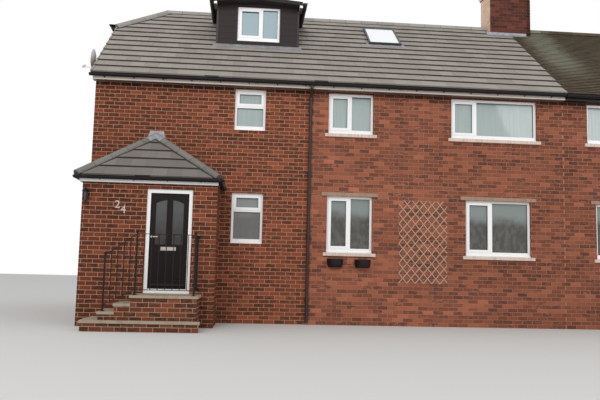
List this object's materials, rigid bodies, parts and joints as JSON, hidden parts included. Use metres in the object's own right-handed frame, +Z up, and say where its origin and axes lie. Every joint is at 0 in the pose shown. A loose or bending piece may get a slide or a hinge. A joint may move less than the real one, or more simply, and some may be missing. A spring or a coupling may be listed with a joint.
{
  "type": "terraced house row",
  "caption": "Two-storey brick house row with a side extension, hipped entrance porch, half-hipped tiled roof, dormer and a hinged front door.",
  "frame": {"origin": "on the foot of the front wall, in the middle of its thickness, at the joint between the side extension and the older house, at ground level", "axes": "+X along the row from the extension to the neighbouring house, +Y from the street into the houses, +Z up"},
  "size_m": [16.9674, 9.144, 9.7513],
  "materials": {
    "new_brick": "rough multi-coloured facing brick, light mortar",
    "old_brick": "weathered darker red facing brick, dull mortar",
    "concrete": "plain cast concrete",
    "new_roof_tile": "matt grey interlocking tiles",
    "old_roof_tile": "worn mossy brown plain tiles",
    "white_board": "white satin boards",
    "white_frame": "white satin frames",
    "black_plastic": "black satin",
    "dark_boarding": "dark brown boards",
    "dark_metal": "dark grey satin paint",
    "clay": "unglazed terracotta",
    "lead": "dull grey sheet lead",
    "black_door": "black gloss skin",
    "glass": "clear double glazing",
    "gold_fittings": "polished gold colour",
    "bright_handle": "polished",
    "black_iron": "black gloss paint",
    "trellis_wood": "pale weathered softwood",
    "grey_metal": "mid-grey paint"
  },
  "bodies": {
    "row": {"extension_front_wall": "new_brick", "house_front_wall": "old_brick", "neighbour_front_wall": "old_brick", "gable_wall": "new_brick", "rear_wall": "new_brick", "neighbour_rear_wall": "old_brick", "party_wall": "old_brick", "end_party_wall": "old_brick", "floors": "concrete", "porch_side_walls": "new_brick", "porch_front_walls": "new_brick", "porch_wall_over_door": "new_brick", "porch_floor": "concrete", "roof_front_slope": "new_roof_tile", "roof_rear_slope": "new_roof_tile", "roof_half_hip": "new_roof_tile", "neighbour_roof_front": "old_roof_tile", "neighbour_roof_rear": "old_roof_tile", "ridge_and_hip_tiles": "new_roof_tile", "fascia_boards": "white_board", "gutters": "black_plastic", "downpipe": "black_plastic", "neighbour_eaves": "black_plastic", "dormer_walls": "dark_boarding", "dormer_roof": "dark_boarding", "roof_window": "dark_metal", "chimney_stack": "new_brick", "chimney_pots": "clay", "lead_flashings": "lead", "porch_roof": "new_roof_tile", "door_frame": "white_frame", "landing": "new_brick", "upper_step": "new_brick", "middle_step": "new_brick", "lower_step": "new_brick", "step_plinth": "new_brick", "railing": "black_iron", "front_window_frames": "white_frame", "rear_window_frames": "white_frame", "window_glass": "glass", "sills_and_lintels": "concrete", "trellis": "trellis_wood", "window_troughs": "black_plastic", "satellite_dish": "grey_metal", "wall_lantern": "black_iron"},
    "door": {"door_leaf": "black_door", "door_glass": "glass", "door_furniture": "gold_fittings"},
    "handle": {"door_handle": "bright_handle"}
  },
  "joints": [
    {"name": "front_door_hinge", "type": "hinge", "parent": "row", "child": "door", "pos_m": [-2.4605, -1.272, 0.74], "axis": [0, 0, -1], "range_deg": [0, 90]},
    {"name": "door_handle_turn", "type": "hinge", "parent": "door", "child": "handle", "pos_m": [-3.177, -1.325, 1.75], "axis": [0, 1, 0], "range_deg": [0, 35], "stiffness_Nm_per_rad": 2, "springref_deg": -22.92}
  ]
}
